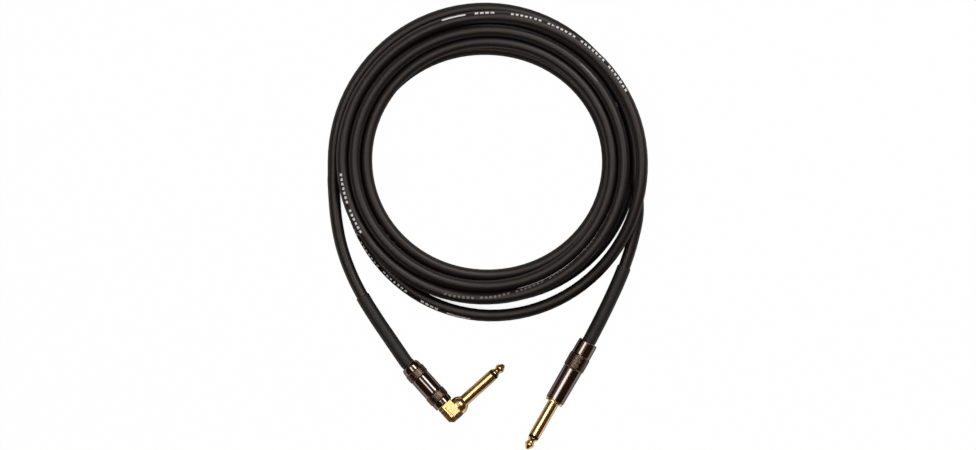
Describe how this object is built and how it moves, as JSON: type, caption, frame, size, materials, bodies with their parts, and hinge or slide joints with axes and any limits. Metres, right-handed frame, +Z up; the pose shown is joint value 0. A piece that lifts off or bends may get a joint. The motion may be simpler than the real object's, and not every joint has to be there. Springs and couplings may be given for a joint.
{
  "type": "instrument cable",
  "caption": "Coiled black instrument cable with one straight and one right-angle gold-tipped jack plug, dark bronze screw barrels and shrunk sleeves.",
  "frame": {"origin": "on the floor, midway under the two plugs", "axes": "+X along the longer side of the pair of plugs, +Y from the plugs towards the coil, +Z up from the floor"},
  "size_m": [0.1813, 0.2536, 0.0216],
  "materials": {
    "jacket": "matt soft jacket",
    "shrink": "matt shrunk sleeve",
    "bronze": "dark bronze plating",
    "gold": "polished gold plating",
    "ring_plastic": "moulded",
    "washer_plastic": "moulded",
    "tinned": "tinned",
    "solder": "bright",
    "core_white": "extruded",
    "screen_plastic": "extruded",
    "copper": "stranded copper",
    "liner": "clear-ish sleeve"
  },
  "bodies": {
    "cable": {"cable_coil": "jacket", "cable_tail_straight": "jacket", "cable_tail_angle": "jacket", "straight_heat_shrink": "shrink", "angle_heat_shrink": "shrink", "straight_tip_contact": "gold", "straight_tip_insulator": "ring_plastic", "straight_sleeve_contact": "gold", "straight_ground_terminal": "tinned", "straight_rear_insulator": "washer_plastic", "straight_tip_terminal": "tinned", "straight_centre_conductor": "copper", "straight_core_insulation": "core_white", "straight_conductive_layer": "screen_plastic", "straight_shield_pigtail": "copper", "straight_tip_solder": "solder", "straight_ground_solder": "solder", "angle_head": "gold", "angle_cap": "gold", "angle_tip_contact": "gold", "angle_tip_insulator": "ring_plastic", "angle_sleeve_contact": "gold", "angle_rear_insulator": "washer_plastic", "angle_tip_terminal": "tinned", "angle_ground_terminal": "tinned", "angle_centre_conductor": "copper", "angle_core_insulation": "core_white", "angle_conductive_layer": "screen_plastic", "angle_shield_pigtail": "copper", "angle_tip_solder": "solder", "angle_ground_solder": "solder"},
    "straight_liner": {"straight_liner": "liner"},
    "straight_barrel": {"straight_barrel": "bronze"},
    "angle_liner": {"angle_liner": "liner"},
    "angle_barrel": {"angle_barrel": "bronze"}
  },
  "joints": [
    {"name": "straight_liner_slide", "type": "slide", "parent": "cable", "child": "straight_liner", "axis": [0.5, 0.866, 0], "range_m": [0, 0.006]},
    {"name": "straight_barrel_turn", "type": "hinge", "parent": "straight_liner", "child": "straight_barrel", "pos_m": [0.0405, 0.01232, 0.0061], "axis": [0.5, 0.866, 0], "range_deg": [0, 2880]},
    {"name": "angle_liner_slide", "type": "slide", "parent": "cable", "child": "angle_liner", "axis": [-0.6691, 0.7431, 0], "range_m": [0, 0.006]},
    {"name": "angle_barrel_turn", "type": "hinge", "parent": "angle_liner", "child": "angle_barrel", "pos_m": [-0.04088, 0.00446, 0.0061], "axis": [-0.6691, 0.7431, 0], "range_deg": [0, 2880]}
  ],
  "couplings": [
    {"joint": "straight_liner_slide", "follows": "straight_barrel_turn", "m_per_rad": 0.00011937},
    {"joint": "angle_liner_slide", "follows": "angle_barrel_turn", "m_per_rad": 0.00011937}
  ]
}
